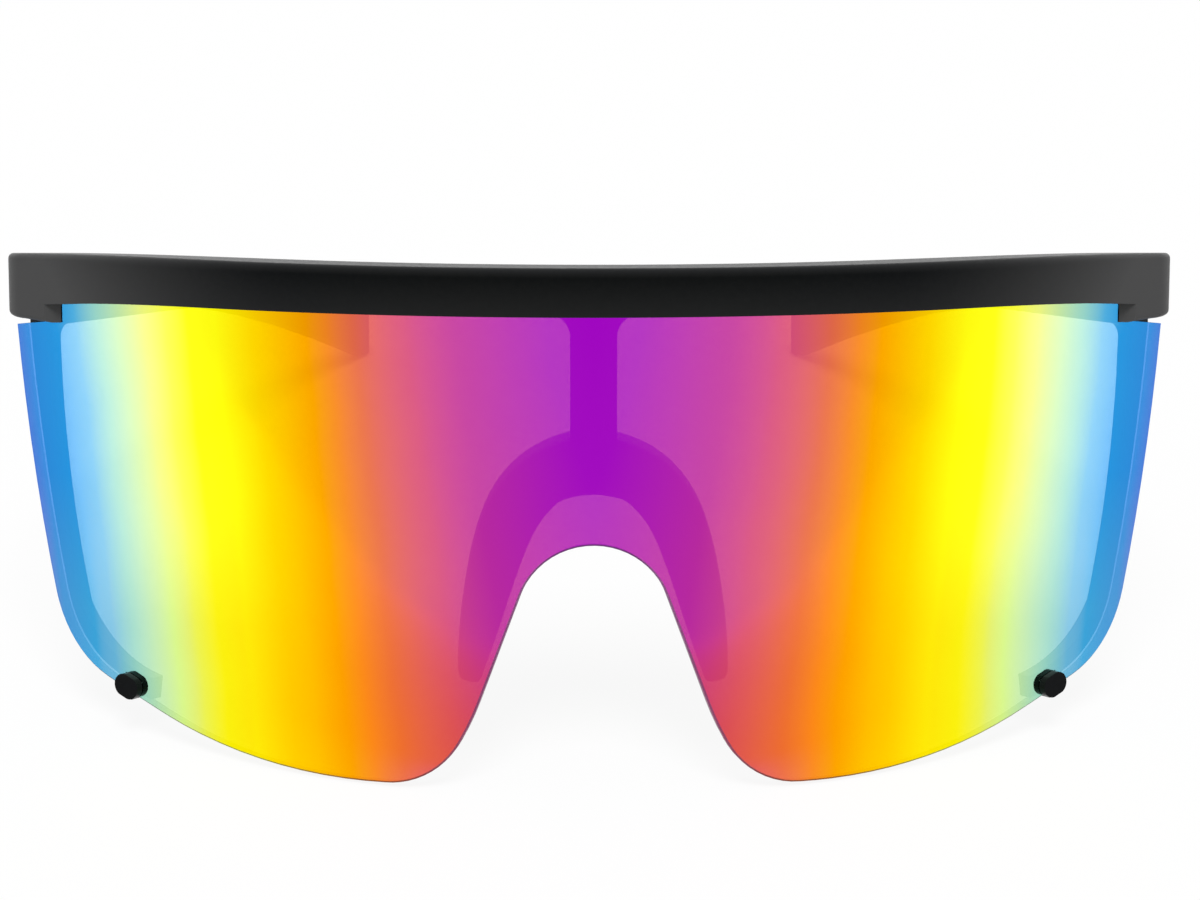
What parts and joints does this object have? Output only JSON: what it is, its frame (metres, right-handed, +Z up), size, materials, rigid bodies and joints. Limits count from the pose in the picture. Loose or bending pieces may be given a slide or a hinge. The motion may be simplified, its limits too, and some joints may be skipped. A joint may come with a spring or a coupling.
{
  "type": "shield sunglasses",
  "caption": "Wraparound shield sunglasses: a curved mirror lens clipped into a black half frame, with a soft nose saddle and folding temples on screw hinges.",
  "frame": {"origin": "middle of the footprint of the open glasses, on the surface that they stand on", "axes": "+Z up, +Y from the lens to the temple tips (towards the wearer), +X to the wearer's left"},
  "size_m": [0.152, 0.1724, 0.065],
  "materials": {
    "frame_black": "injection moulded, satin black",
    "mirror_lens": "polycarbonate with a rainbow mirror coat, violet at the middle through orange and yellow to blue at the ends",
    "saddle_rubber": "soft matt rubber, black",
    "hinge_steel": "satin steel"
  },
  "bodies": {
    "front": {"front_frame": "frame_black", "shield_lens": "mirror_lens", "nose_saddle": "saddle_rubber", "left_hinge_front_leaf": "hinge_steel", "right_hinge_front_leaf": "hinge_steel", "left_hinge_screw": "hinge_steel", "right_hinge_screw": "hinge_steel"},
    "left_temple": {"left_temple": "frame_black", "left_hinge_temple_leaf": "hinge_steel"},
    "right_temple": {"right_temple": "frame_black", "right_hinge_temple_leaf": "hinge_steel"}
  },
  "joints": [
    {"name": "left_temple_fold", "type": "hinge", "parent": "front", "child": "left_temple", "pos_m": [0.0702, -0.03727, 0.05133], "axis": [0, 0.2028, 0.9792], "range_deg": [0, 80]},
    {"name": "right_temple_fold", "type": "hinge", "parent": "front", "child": "right_temple", "pos_m": [-0.0702, -0.03727, 0.05133], "axis": [0, -0.2028, -0.9792], "range_deg": [0, 73]}
  ]
}
